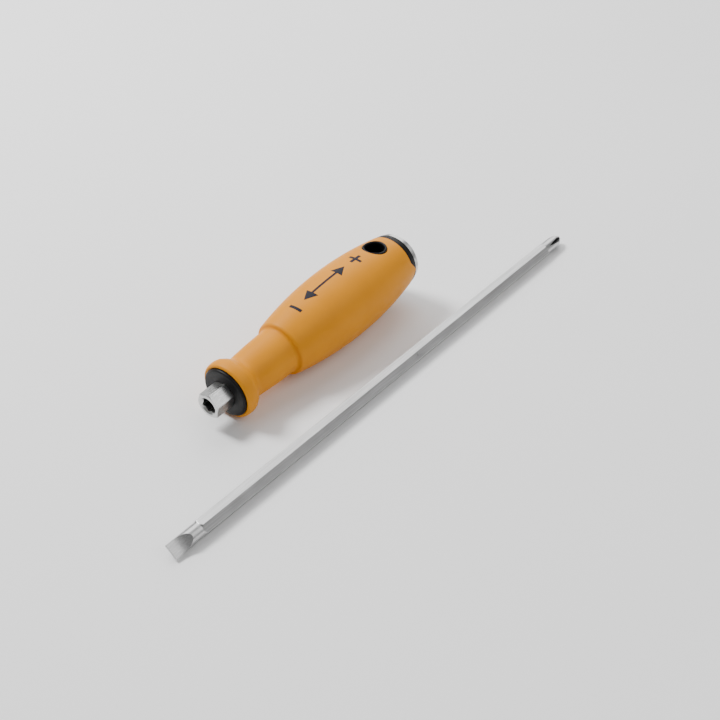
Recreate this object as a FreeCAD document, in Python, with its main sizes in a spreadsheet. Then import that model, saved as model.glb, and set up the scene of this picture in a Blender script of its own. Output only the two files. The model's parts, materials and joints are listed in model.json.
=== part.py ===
import FreeCAD, Part
import math
import os
import Sketcher

# Two-way strike-cap screwdriver, laid out with its blade drawn out and lying beside the handle.
# Row frame: +X from the slotted tip to the cross tip, +Z up, origin at the middle of the
# footprint on the surface that both pieces lie on.
# Handle frame: X is the station behind the bolster's front face, Z is up, the axis is the X axis.

Vector = FreeCAD.Vector
DEGREE = math.pi / 180.0

SIZES = {
    # blade
    "blade_length": (258.0, "tip to tip"),
    "blade_flats": (6.0, "across flats of the hexagon bar"),
    "blade_edge": (0.25, "rounding of the bar's long edges"),
    "slot_shank": (13.5, "round shank between slotted tip and hexagon"),
    "slot_radius": (2.98, "radius of the slotted shank"),
    "slot_ground": (8.7, "length of the hollow-ground faces"),
    "slot_half": (0.5, "half thickness of the slotted tip"),
    "slot_corner": (0.25, "corner break of the slotted tip"),
    "slot_roll": (40.0, "roll of the slotted tip about the bar, degrees"),
    "cross_shank": (14.0, "round shank between cross tip and hexagon"),
    "cross_radius": (2.95, "radius of the cross shank"),
    "cross_cone": (3.7, "length of the cross tip's cone"),
    "cross_nose": (1.15, "radius of the cross tip's end"),
    "flute_root": (0.53, "distance of a flute's two walls from the axis at the tip"),
    "flute_start": (14.6, "where the flutes run out, from the tip"),
    "flute_runout": (2.33, "distance of a flute's two walls from the axis at its run-out"),
    "flute_reach": (4.5, "length of the flute cutter's sides"),
    # steel tube with bolster and socket
    "tube_flats": (10.0, "across flats of the bolster and tube"),
    "tube_edge": (0.3, "rounding of the tube's long edges"),
    "tube_end": (94.0, "station of the tube's rear end"),
    "tube_face": (5.0, "radius where the turned chamfer meets the front face"),
    "tube_bevel": (0.6, "depth of the turned chamfer"),
    "socket_flats": (6.15, "across flats of the hexagon socket"),
    "socket_depth": (85.0, "depth of the hexagon socket"),
    "socket_mouth": (3.95, "radius of the countersink"),
    "socket_sink": (0.95, "depth of the countersink"),
    "roll": (44.0, "roll of the tube's hexagon about the handle axis, degrees"),
    # detent
    "ball_station": (13.5, "station of the ball and its clip"),
    "ball_radius": (1.5, "radius of the detent ball"),
    "ball_centre": (4.225, "distance of the ball's centre from the axis"),
    "ball_hole": (1.55, "radius of the ball's hole"),
    "ball_lip": (1.1, "radius of the lip that keeps the ball in"),
    "ball_seat": (3.19, "distance of the lip from the axis"),
    "clip_radius": (6.25, "mean radius of the C clip"),
    "clip_wire": (0.45, "radius of the clip's wire"),
    "clip_turn": (290.0, "degrees that the clip's wire covers"),
    # cross pin
    "pin_station": (89.5, "station of the cross pin"),
    "pin_radius": (1.25, "radius of the cross pin"),
    "pin_length": (20.8, "length of the cross pin"),
    # front cap
    "cap_front": (9.0, "station of the front cap's face"),
    "cap_back": (10.8, "station of the cap flange's back"),
    "cap_radius": (10.6, "radius of the cap's flange"),
    "cap_round": (0.6, "rounding of the flange's rim"),
    "spigot_radius": (9.4, "radius of the cap's spigot"),
    "clip_room": (7.4, "radius of the clip's chamber"),
    "clip_wall": (12.0, "station of the chamber's front wall"),
    # core
    "core_front": (15.0, "station of the core's front end"),
    "core_neck": (7.9, "core radius inside the neck"),
    "core_step": (44.0, "station of the core's shoulder"),
    "core_body": (10.6, "core radius inside the barrel"),
    "core_end": (114.0, "station of the core's rear end"),
    # front grip: collar and neck
    "collar_front": (10.2, "station of the collar's front face"),
    "collar_gap": (10.75, "inner radius of the collar's front face"),
    "collar_face": (11.2, "outer radius of the collar's front face"),
    "collar_rise": (11.2, "station where the crest starts"),
    "collar_low": (12.15, "radius where the crest starts"),
    "collar_fall": (15.0, "station where the crest ends"),
    "collar_high": (12.05, "radius where the crest ends"),
    "collar_crown": (8.0, "crown radius of the crest"),
    "collar_nose": (1.1, "rounding from front face to crest"),
    "hollow_start": (17.0, "station where the hollow behind the collar starts"),
    "hollow_radius": (10.9, "handle radius there"),
    "hollow_curve": (5.5, "radius of the hollow"),
    "neck_front": (21.0, "station of the neck's thinnest point"),
    "neck_thin": (9.15, "neck radius there"),
    "neck_back": (37.0, "station where the neck turns parallel"),
    "neck_wide": (10.1, "neck radius there"),
    "neck_under": (10.2, "neck radius under the barrel's lip"),
    "bead_start": (39.8, "station where the neck rises to the barrel's lip"),
    "bead_radius": (10.95, "neck radius against the lip"),
    "bead_curve": (1.3, "radius of that rise"),
    # barrel
    "lip_front": (41.0, "station of the barrel's front lip"),
    "lip_face": (10.9, "radius of the lip's flat face"),
    "lip_back": (42.4, "station where the lip's rounding ends"),
    "lip_radius": (12.15, "barrel radius there"),
    "lip_round": (1.6, "rounding of the lip"),
    "crest": (80.0, "station of the barrel's widest point"),
    "barrel_radius": (16.1, "barrel radius there"),
    "butt": (118.3, "station of the butt"),
    "butt_radius": (12.1, "barrel radius there"),
    "butt_cusp": (117.9, "station that the orange reaches at the sides"),
    "butt_crown": (114.7, "station that it reaches above and below"),
    "tab_half": (4.8, "half width of the pointed tab at each side"),
    "butt_width": (17.0, "half width of the cut"),
    "cut_end": (126.0, "station behind every cutter"),
    "cut_start": (60.0, "station before the butt's cutters"),
    # hanging hole
    "hole_station": (104.4, "station of the hanging hole"),
    "hole_radius": (4.2, "radius of the hanging hole"),
    "liner_radius": (5.45, "outer radius of its lining"),
    "liner_reach": (34.0, "length of the lining before it is trimmed"),
    "liner_trim": (18.0, "radius of the trimming cutter"),
    # strike cap
    "strike_back": (116.6, "station of the cap's front face"),
    "strike_face": (121.3, "station of the striking face"),
    "strike_seat": (118.35, "station of the cap's flange behind the ring"),
    "strike_radius": (10.5, "radius of the strike cap inside the ring"),
    "strike_flange": (11.4, "radius of its flange"),
    "strike_round": (1.0, "rounding of the cap's rim"),
    "shank_width": (17.6, "width of the flat shank"),
    "shank_thick": (5.2, "thickness of the flat shank"),
    "eye_radius": (5.6, "radius of the shank's eye"),
    # layout
    "spacing": (36.2, "distance between the handle's and the blade's axes, seen from above"),
    "nose_offset": (64.7, "slotted tip ahead of the front cap's face"),
}

doc = FreeCAD.newDocument("screwdriver")
sheet = doc.addObject("Spreadsheet::Sheet", "Sizes")
for row, (name, (number, note)) in enumerate(SIZES.items(), start=1):
    sheet.set(f"A{row}", name)
    sheet.set(f"B{row}", str(number))
    sheet.set(f"C{row}", note)
    sheet.setAlias(f"B{row}", name)
doc.recompute()


def bound(expression):
    """An expression in alias names, written with the sheet's prefix."""
    words = expression.replace("(", " ( ").replace(")", " ) ").split()
    return " ".join(f"Sizes.{word}" if word in SIZES else word for word in words)


def size(expression):
    """The number that an expression in alias names comes to."""
    return float(sheet.evalExpression(bound(expression)))


# ---------------------------------------------------------------- sketches

ORIGIN = (-1, 1)
X_AXIS = -1
Y_AXIS = -2


def new_body(label):
    body = doc.addObject("PartDesign::Body", label)
    body.Label = label
    return body


def new_sketch(body, name, plane, offset=None, roll=None):
    """A sketch on one of the body's own planes, moved along its normal or rolled about its x."""
    sketch = body.newObject("Sketcher::SketchObject", f"{body.Label}_{name}")
    support = next(o for o in body.Origin.OriginFeatures if o.Role == plane)
    sketch.AttachmentSupport = [(support, "")]
    sketch.MapMode = "FlatFace"
    if roll:
        tilt = FreeCAD.Rotation(Vector(1, 0, 0), size(roll))
        lift = Vector(0, 0, size(offset)) if offset else Vector(0, 0, 0)
        sketch.AttachmentOffset = FreeCAD.Placement(tilt.multVec(lift), tilt)
    elif offset:
        sketch.setExpression("AttachmentOffset.Base.z", bound(offset))
    doc.recompute()
    return sketch


def hold(sketch, geometry, end, axis, expression):
    """Fix one coordinate of a point: on the axis if it is zero, else by a bound distance."""
    if size(expression) == 0:
        other = X_AXIS if axis == "DistanceY" else Y_AXIS
        sketch.addConstraint(Sketcher.Constraint("PointOnObject", geometry, end, other))
        return
    index = sketch.addConstraint(
        Sketcher.Constraint(axis, *ORIGIN, geometry, end, size(expression))
    )
    sketch.setExpression(f"Constraints[{index}]", bound(expression))


def arc_between(start, end, radius):
    """The arc from start to end that turns left if its radius is positive, else right."""
    middle = (start + end) * 0.5
    across = end - start
    left = Vector(-across.y, across.x, 0).normalize()
    drop = math.sqrt(radius**2 - (across.Length / 2) ** 2)
    centre = middle + left * math.copysign(drop, radius)
    first, last = (start, end) if radius > 0 else (end, start)
    angles = [math.atan2(p.y - centre.y, p.x - centre.x) for p in (first, last)]
    circle = Part.Circle(centre, Vector(0, 0, 1), abs(radius))
    return Part.ArcOfCircle(circle, *angles)


def outline(sketch, corners):
    """A closed outline. A corner is (x, y) or (x, y, radius of the edge that leaves it)."""
    points = [Vector(size(c[0]), size(c[1]), 0) for c in corners]
    ends = []
    for number, corner in enumerate(corners):
        start = points[number]
        end = points[(number + 1) % len(points)]
        if len(corner) == 2:
            edge = sketch.addGeometry(Part.LineSegment(start, end))
            ends.append((edge, 1, 2))
            continue
        radius = size(corner[2])
        edge = sketch.addGeometry(arc_between(start, end, radius))
        ends.append((edge, 1, 2) if radius > 0 else (edge, 2, 1))
        index = sketch.addConstraint(Sketcher.Constraint("Radius", edge, abs(radius)))
        rule = bound(corner[2])
        sketch.setExpression(f"Constraints[{index}]", rule if radius > 0 else f"-({rule})")
    for number, (edge, head, _) in enumerate(ends):
        before, _, tail = ends[number - 1]
        sketch.addConstraint(Sketcher.Constraint("Coincident", before, tail, edge, head))
        hold(sketch, edge, head, "DistanceX", corners[number][0])
        hold(sketch, edge, head, "DistanceY", corners[number][1])
    return sketch


def hexagon(sketch, flats, corner_angle="0"):
    """A hexagon about the origin, its first corner at corner_angle degrees from the x axis."""
    radius = size(flats) / math.sqrt(3)
    turn = size(corner_angle)
    corners = [
        Vector(
            radius * math.cos((turn + 60 * k) * DEGREE),
            radius * math.sin((turn + 60 * k) * DEGREE),
            0,
        )
        for k in range(6)
    ]
    guide = sketch.addGeometry(Part.Circle(Vector(0, 0, 0), Vector(0, 0, 1), radius), True)
    sketch.addConstraint(Sketcher.Constraint("Coincident", guide, 3, *ORIGIN))
    index = sketch.addConstraint(Sketcher.Constraint("Radius", guide, radius))
    sketch.setExpression(f"Constraints[{index}]", f"({bound(flats)}) / sqrt(3)")
    edges = [
        sketch.addGeometry(Part.LineSegment(corners[k], corners[(k + 1) % 6]))
        for k in range(6)
    ]
    for k, edge in enumerate(edges):
        sketch.addConstraint(Sketcher.Constraint("Coincident", edges[k - 1], 2, edge, 1))
        sketch.addConstraint(Sketcher.Constraint("PointOnObject", edge, 1, guide))
        if k:
            sketch.addConstraint(Sketcher.Constraint("Equal", edges[0], edge))
    heading = (turn + 120) * DEGREE
    index = sketch.addConstraint(Sketcher.Constraint("Angle", edges[0], heading))
    sketch.setExpression(f"Constraints[{index}]", f"({bound(corner_angle)} + 120) * 1 deg")
    return sketch


def circle(sketch, centre_x, centre_y, radius):
    edge = sketch.addGeometry(
        Part.Circle(Vector(size(centre_x), size(centre_y), 0), Vector(0, 0, 1), size(radius))
    )
    hold(sketch, edge, 3, "DistanceX", centre_x)
    hold(sketch, edge, 3, "DistanceY", centre_y)
    index = sketch.addConstraint(Sketcher.Constraint("Radius", edge, size(radius)))
    sketch.setExpression(f"Constraints[{index}]", bound(radius))
    return sketch


def rectangle(sketch, half_x, half_y):
    """A rectangle centred on the sketch's origin."""
    return outline(
        sketch,
        [
            (f"-( {half_x} )", f"-( {half_y} )"),
            (half_x, f"-( {half_y} )"),
            (half_x, half_y),
            (f"-( {half_x} )", half_y),
        ],
    )


# ---------------------------------------------------------------- features


def turned(body, name, sketch, kind="Revolution", span="360"):
    """Add (Revolution) or cut (Groove) the sketch turned about the body's X axis."""
    feature = body.newObject(f"PartDesign::{kind}", f"{body.Label}_{name}")
    feature.Profile = sketch
    feature.ReferenceAxis = (sketch, ["H_Axis"])
    feature.setExpression("Angle", bound(span))
    return feature


def pad(body, name, sketch, length, both_ways=False):
    feature = body.newObject("PartDesign::Pad", f"{body.Label}_{name}")
    feature.Profile = sketch
    feature.setExpression("Length", bound(length))
    if both_ways:
        feature.SideType = "Symmetric"
    return feature


def pocket(body, name, sketch, depth=None, both_ways=False, forward=True):
    """Cut the sketch along its normal, to a depth or through everything."""
    doc.recompute()
    before = body.Shape.Volume
    feature = body.newObject("PartDesign::Pocket", f"{body.Label}_{name}")
    feature.Profile = sketch
    if depth:
        feature.setExpression("Length", bound(depth))
    else:
        feature.Type = "ThroughAll"
    if both_ways:
        feature.SideType = "Symmetric"
    else:
        feature.Reversed = forward
    doc.recompute()
    if body.Shape.Volume > before - 1e-3:
        raise RuntimeError(f"{feature.Name} cuts nothing")
    return feature


def round_long_edges(body, name, radius, shortest):
    """Round the edges that run along the body's X axis and are longer than shortest."""
    doc.recompute()
    base = body.Tip
    names = []
    for number, edge in enumerate(base.Shape.Edges, start=1):
        along = edge.tangentAt(edge.FirstParameter)
        if abs(along.x) > 0.999 and edge.Length > shortest:
            names.append(f"Edge{number}")
    feature = body.newObject("PartDesign::Fillet", f"{body.Label}_{name}")
    feature.Base = (base, names)
    feature.setExpression("Radius", bound(radius))
    return feature


# ---------------------------------------------------------------- layout


def arc_top(start, end, radius):
    """Centre of a handle profile's arc that runs from end to start over the top."""
    first = Vector(size(end[0]), size(end[1]), 0)
    last = Vector(size(start[0]), size(start[1]), 0)
    return arc_between(first, last, radius).Center


FRONT_SWEEP = (
    "( ( crest - lip_back ) ^ 2 + ( barrel_radius - lip_radius ) ^ 2 )"
    " / ( 2 * ( barrel_radius - lip_radius ) )"
)
REAR_SWEEP = (
    "( ( butt - crest ) ^ 2 + ( barrel_radius - butt_radius ) ^ 2 )"
    " / ( 2 * ( barrel_radius - butt_radius ) )"
)


def resting_tilt():
    """Tilt and height of the handle's axis when collar and barrel both touch the surface.

    Each touches on a circular arc, so its lowest point is its centre's height less its radius.
    """
    collar = arc_top(
        ("collar_rise", "collar_low"), ("collar_fall", "collar_high"), size("collar_crown")
    )
    barrel = arc_top(
        ("lip_back", "lip_radius"), ("crest", "barrel_radius"), size(FRONT_SWEEP)
    )
    run = barrel.x - collar.x
    rise = barrel.y - collar.y
    more = size(FRONT_SWEEP) - size("collar_crown")
    tilt = math.asin(more / math.hypot(run, rise)) + math.atan2(rise, run)
    height = (
        size("collar_crown") + collar.y * math.cos(tilt) - collar.x * math.sin(tilt)
    )
    return tilt, height


TILT, NOSE_HEIGHT = resting_tilt()
FOOTPRINT = size("barrel_radius + spacing") + size("blade_flats") / math.sqrt(3)
HANDLE_Y = FOOTPRINT / 2 - size("barrel_radius")
BLADE_X = -size("blade_length") / 2
NOSE_X = BLADE_X + size("nose_offset") - size("cap_front") * math.cos(TILT)
HANDLE = FreeCAD.Placement(
    Vector(NOSE_X, HANDLE_Y, NOSE_HEIGHT),
    FreeCAD.Rotation(Vector(0, 1, 0), -TILT / DEGREE),
)
ROLLED = HANDLE * FreeCAD.Placement(
    Vector(0, 0, 0), FreeCAD.Rotation(Vector(1, 0, 0), size("roll"))
)
BLADE = FreeCAD.Placement(
    Vector(BLADE_X, HANDLE_Y - size("spacing"), size("blade_flats") / 2),
    FreeCAD.Rotation(),
)


# ---------------------------------------------------------------- steel core of the handle


def make_bolster_tube():
    """Hexagon bar with a hexagon bore: its nose is the bolster, its bore the socket."""
    body = new_body("bolster_tube")
    sketch = hexagon(new_sketch(body, "bar", "YZ_Plane"), "tube_flats", "roll")
    pad(body, "length", sketch, "tube_end")
    round_long_edges(body, "edges", "tube_edge", size("tube_end") / 2)
    bevel = outline(
        new_sketch(body, "bevel", "XZ_Plane"),
        [
            ("0", "tube_face"),
            ("tube_bevel", "tube_face + 2 * tube_bevel"),
            ("0", "tube_face + 2 * tube_bevel"),
        ],
    )
    turned(body, "nose", bevel, "Groove")
    bore = hexagon(new_sketch(body, "bore", "YZ_Plane"), "socket_flats", "roll")
    pocket(body, "socket", bore)
    sink = outline(
        new_sketch(body, "sink", "XZ_Plane"),
        [("0", "0"), ("socket_sink", "0"), ("socket_sink", "socket_flats / 2"), ("0", "socket_mouth")],
    )
    turned(body, "countersink", sink, "Groove")
    lip = circle(new_sketch(body, "lip", "XY_Plane", roll="roll"), "ball_station", "0", "ball_lip")
    pocket(body, "ball_window", lip)
    seat = new_sketch(body, "seat", "XY_Plane", offset="ball_seat", roll="roll")
    pocket(body, "ball_pocket", circle(seat, "ball_station", "0", "ball_hole"))
    drill_cross_pin(body)
    return body, HANDLE


def drill_cross_pin(body):
    """The cross pin's hole, square to one pair of the hexagon's flats."""
    sketch = new_sketch(body, "pin_hole", "XY_Plane", roll="roll")
    pocket(body, "pin", circle(sketch, "pin_station", "0", "pin_radius"), both_ways=True)


def make_bore_plug():
    """Slug that closes the tube behind the blade."""
    body = new_body("bore_plug")
    sketch = hexagon(
        new_sketch(body, "bar", "YZ_Plane", offset="socket_depth"), "socket_flats", "roll"
    )
    pad(body, "length", sketch, "tube_end - socket_depth")
    drill_cross_pin(body)
    return body, HANDLE


def make_tang_pin():
    """Pin that ties core, tube and plug together."""
    body = new_body("tang_pin")
    sketch = circle(new_sketch(body, "disc", "XY_Plane"), "pin_station", "0", "pin_radius")
    pad(body, "length", sketch, "pin_length", both_ways=True)
    return body, ROLLED


def make_retaining_ball():
    """Detent ball in the tube's wall, proud of one socket flat."""
    ball = doc.addObject("Part::Sphere", "retaining_ball")
    ball.Label = "retaining_ball"
    ball.setExpression("Radius", bound("ball_radius"))
    place = FreeCAD.Placement(
        Vector(size("ball_station"), 0, size("ball_centre")), FreeCAD.Rotation()
    )
    return ball, ROLLED * place


def make_retaining_clip():
    """C spring of round wire about the tube, open opposite the ball."""
    body = new_body("retaining_clip")
    wire = circle(new_sketch(body, "wire", "XZ_Plane"), "ball_station", "clip_radius", "clip_wire")
    turned(body, "bend", wire, span="clip_turn").Midplane = True
    return body, ROLLED


def make_strike_cap():
    """Forged cap on a flat shank that bears on the tube, with an eye round the hanging hole."""
    body = new_body("strike_cap")
    disc = outline(
        new_sketch(body, "disc", "XZ_Plane"),
        [
            ("strike_back", "0"),
            ("strike_face", "0"),
            ("strike_face", "strike_flange - strike_round", "strike_round"),
            ("strike_face - strike_round", "strike_flange"),
            ("strike_seat", "strike_flange"),
            ("strike_seat", "strike_radius"),
            ("strike_back", "strike_radius"),
        ],
    )
    turned(body, "cap", disc)
    flat = rectangle(
        new_sketch(body, "flat", "YZ_Plane", offset="tube_end"), "shank_width / 2", "shank_thick / 2"
    )
    pad(body, "shank", flat, "strike_back - tube_end")
    eye = circle(new_sketch(body, "eye", "XY_Plane"), "hole_station", "0", "eye_radius")
    pocket(body, "eye_cut", eye, both_ways=True)
    return body, HANDLE


# ---------------------------------------------------------------- mouldings of the handle


def make_front_cap():
    """Black disc at the nose, its spigot covering the clip's chamber."""
    body = new_body("front_cap")
    section = outline(
        new_sketch(body, "section", "XZ_Plane"),
        [
            ("cap_front", "0"),
            ("clip_wall", "0"),
            ("clip_wall", "clip_room"),
            ("core_front", "clip_room"),
            ("core_front", "spigot_radius"),
            ("cap_back", "spigot_radius"),
            ("cap_back", "cap_radius"),
            ("cap_front + cap_round", "cap_radius", "cap_round"),
            ("cap_front", "cap_radius - cap_round"),
        ],
    )
    turned(body, "disc", section)
    bore = hexagon(new_sketch(body, "bore", "YZ_Plane"), "tube_flats", "roll")
    pocket(body, "hexagon", bore)
    return body, HANDLE


def make_handle_core():
    """Hard core that the tube, the shank and the lining go through."""
    body = new_body("handle_core")
    section = outline(
        new_sketch(body, "section", "XZ_Plane"),
        [
            ("core_front", "0"),
            ("core_end", "0"),
            ("core_end", "core_body"),
            ("core_step", "core_body"),
            ("core_step", "core_neck"),
            ("core_front", "core_neck"),
        ],
    )
    turned(body, "moulding", section)
    bore = hexagon(
        new_sketch(body, "bore", "YZ_Plane", offset="core_front"), "tube_flats", "roll"
    )
    pocket(body, "hexagon", bore, depth="tube_end - core_front")
    flat = rectangle(
        new_sketch(body, "flat", "YZ_Plane", offset="tube_end"), "shank_width / 2", "shank_thick / 2"
    )
    pocket(body, "slot", flat)
    drill_hanging_hole(body)
    drill_cross_pin(body)
    return body, HANDLE


def drill_hanging_hole(body):
    sketch = circle(
        new_sketch(body, "hang", "XY_Plane"), "hole_station", "0", "liner_radius"
    )
    pocket(body, "hang_hole", sketch, both_ways=True)


def make_front_grip():
    """Orange collar and neck."""
    body = new_body("front_grip")
    section = outline(
        new_sketch(body, "section", "XZ_Plane"),
        [
            ("cap_back", "spigot_radius"),
            ("core_front", "spigot_radius"),
            ("core_front", "core_neck"),
            ("core_step", "core_neck"),
            ("core_step", "neck_under"),
            ("lip_front", "neck_under"),
            ("lip_front", "bead_radius", "-( bead_curve )"),
            ("bead_start", "neck_under"),
            ("neck_back", "neck_wide"),
            ("neck_front", "neck_thin", "-( hollow_curve )"),
            ("hollow_start", "hollow_radius"),
            ("collar_fall", "collar_high", "collar_crown"),
            ("collar_rise", "collar_low", "collar_nose"),
            ("collar_front", "collar_face"),
            ("collar_front", "collar_gap"),
            ("cap_back", "collar_gap"),
        ],
    )
    turned(body, "moulding", section)
    return body, HANDLE


def make_main_grip():
    """Orange barrel, its lip lapping over the neck, cut back above and below at the butt."""
    body = new_body("main_grip")
    section = outline(
        new_sketch(body, "section", "XZ_Plane"),
        [
            ("lip_front", "neck_under"),
            ("core_step", "neck_under"),
            ("core_step", "core_body"),
            ("butt", "core_body"),
            ("butt", "butt_radius", REAR_SWEEP),
            ("crest", "barrel_radius", FRONT_SWEEP),
            ("lip_back", "lip_radius", "lip_round"),
            ("lip_front", "lip_face"),
        ],
    )
    turned(body, "moulding", section)
    pocket(body, "cut_back", butt_cut(body, "cut_end"), both_ways=True)
    drill_hanging_hole(body)
    return body, HANDLE


def butt_cut(body, side):
    """Outline on one side of the parting between barrel and rear ring: a flat face and a pointed tab."""
    return outline(
        new_sketch(body, "cut", "XZ_Plane"),
        [
            ("butt_cusp", "0"),
            ("butt_crown", "-( tab_half )"),
            ("butt_crown", "-( butt_width )"),
            (side, "-( butt_width )"),
            (side, "butt_width"),
            ("butt_crown", "butt_width"),
            ("butt_crown", "tab_half"),
        ],
    )


def make_rear_ring():
    """Black end of the handle: crescents above and below, and a disc that closes the core."""
    body = new_body("rear_ring")
    rim = outline(
        new_sketch(body, "rim", "XZ_Plane"),
        [
            ("core_end", "core_body"),
            ("butt", "core_body"),
            ("butt", "butt_radius", REAR_SWEEP),
            ("crest", "barrel_radius"),
            ("crest", "core_body"),
        ],
    )
    turned(body, "crescents", rim)
    pocket(body, "parting", butt_cut(body, "cut_start"), both_ways=True)
    disc = outline(
        new_sketch(body, "disc", "XZ_Plane"),
        [
            ("core_end", "0"),
            ("strike_back", "0"),
            ("strike_back", "core_body"),
            ("core_end", "core_body"),
        ],
    )
    turned(body, "web", disc)
    flat = rectangle(
        new_sketch(body, "flat", "YZ_Plane"), "shank_width / 2", "shank_thick / 2"
    )
    pocket(body, "slot", flat)
    return body, HANDLE


def make_hang_liner():
    """Lining of the hanging hole, its ends flush with the barrel."""
    body = new_body("hang_liner")
    sketch = circle(
        new_sketch(body, "ring", "XY_Plane"), "hole_station", "0", "liner_radius"
    )
    circle(sketch, "hole_station", "0", "hole_radius")
    pad(body, "tube", sketch, "liner_reach", both_ways=True)
    trim = outline(
        new_sketch(body, "trim", "XZ_Plane"),
        [
            ("crest", "barrel_radius", f"-( {REAR_SWEEP} )"),
            ("butt", "butt_radius"),
            ("butt", "liner_trim"),
            ("crest", "liner_trim"),
        ],
    )
    turned(body, "flush", trim, "Groove")
    return body, HANDLE


# ---------------------------------------------------------------- blade


def make_blade():
    """Hexagon bar with a slotted tip at its start and a cross tip at its end."""
    body = new_body("blade")
    bar = hexagon(new_sketch(body, "bar", "YZ_Plane", offset="slot_shank"), "blade_flats")
    pad(body, "length", bar, "blade_length - slot_shank - cross_shank")
    round_long_edges(body, "edges", "blade_edge", size("blade_length") / 2)
    slot = outline(
        new_sketch(body, "slot", "XZ_Plane"),
        [
            ("0", "0"),
            ("slot_shank + 1", "0"),
            ("slot_shank + 1", "slot_radius - slot_corner"),
            ("slot_shank", "slot_radius"),
            ("slot_corner", "slot_radius"),
            ("0", "slot_radius - slot_corner"),
        ],
    )
    turned(body, "slot_shank", slot)
    cross = outline(
        new_sketch(body, "cross", "XZ_Plane"),
        [
            ("blade_length - cross_shank - 1", "0"),
            ("blade_length", "0"),
            ("blade_length", "cross_nose"),
            ("blade_length - cross_cone", "cross_radius"),
            ("blade_length - cross_shank - 1", "cross_radius"),
        ],
    )
    turned(body, "cross_shank", cross)
    for side in ("", "-"):
        grind = new_sketch(body, f"grind{side and 2}", "XZ_Plane", roll="slot_roll")
        pocket(body, f"hollow{side and 2}", hollow_ground(grind, side), both_ways=True)
    cut_flutes(body)
    return body, BLADE


def hollow_ground(sketch, side):
    """What the wheel takes from one side of the slotted tip."""
    rise = "( slot_radius - slot_half )"
    wheel = f"( slot_ground ^ 2 + {rise} ^ 2 ) / ( 2 * {rise} )"
    turn = wheel if side == "" else f"-( {wheel} )"
    return outline(
        sketch,
        [
            ("-1", f"{side}( slot_half )"),
            ("0", f"{side}( slot_half )", turn),
            ("slot_ground", f"{side}( slot_radius )"),
            ("slot_ground", f"{side}( slot_radius + 1 )"),
            ("-1", f"{side}( slot_radius + 1 )"),
        ],
    )


def cut_flutes(body):
    """Four V flutes that run out along the cross shank."""
    wedges = []
    for name, station, root in (
        ("tip", "blade_length + 0.2", "flute_root"),
        ("runout", "blade_length - flute_start", "flute_runout"),
    ):
        sketch = new_sketch(body, f"flute_{name}", "YZ_Plane", offset=station)
        wedges.append(
            outline(
                sketch,
                [
                    (root, root),
                    (f"{root} + flute_reach", root),
                    (root, f"{root} + flute_reach"),
                ],
            )
        )
    doc.recompute()
    flute = body.newObject("PartDesign::SubtractiveLoft", "blade_flute")
    flute.Profile = wedges[0]
    flute.Sections = [wedges[1]]
    doc.recompute()
    pattern = body.newObject("PartDesign::PolarPattern", "blade_flutes")
    pattern.Originals = [flute]
    pattern.Axis = (wedges[0], ["N_Axis"])
    pattern.Angle = 360
    pattern.Occurrences = 4
    body.Tip = pattern
    doc.recompute()


# ---------------------------------------------------------------- build and write

PIECES = [
    make_bolster_tube,
    make_bore_plug,
    make_tang_pin,
    make_retaining_ball,
    make_retaining_clip,
    make_strike_cap,
    make_front_cap,
    make_handle_core,
    make_front_grip,
    make_main_grip,
    make_rear_ring,
    make_hang_liner,
    make_blade,
]


def check(pieces):
    """Stop if a feature failed or a piece isn't one valid solid."""
    for item in doc.Objects:
        if {"Invalid", "Error"} & set(item.State):
            raise RuntimeError(f"{item.Name} failed: {item.State}")
    for piece in pieces:
        if piece.Shape.isNull() or not piece.Shape.isValid():
            raise RuntimeError(f"{piece.Label} has no valid shape")
        if not piece.Shape.Solids:
            raise RuntimeError(f"{piece.Label} has no solid")


def main():
    pieces = []
    for make in PIECES:
        piece, place = make()
        piece.Placement = place
        doc.recompute()
        pieces.append(piece)
    check(pieces)
    os.makedirs("parts", exist_ok=True)
    for piece in pieces:
        piece.Shape.exportStep(f"parts/{piece.Label}.step")
        box = piece.Shape.optimalBoundingBox(False)
        print(
            f"{piece.Label:15s} solids {len(piece.Shape.Solids)} volume {piece.Shape.Volume:9.1f}"
            f"  x {box.XMin:8.2f} {box.XMax:8.2f}  y {box.YMin:7.2f} {box.YMax:7.2f}"
            f"  z {box.ZMin:6.2f} {box.ZMax:6.2f}"
        )
    print(f"tilt {TILT / DEGREE:.3f} degrees, nose at {NOSE_X:.3f} {HANDLE_Y:.3f} {NOSE_HEIGHT:.3f}")


main()
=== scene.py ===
import json
from math import acos, asin, atan2, ceil, cos, hypot, pi, radians, sin, sqrt, tan

import bmesh
import bpy
from mathutils import Matrix, Vector


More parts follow.
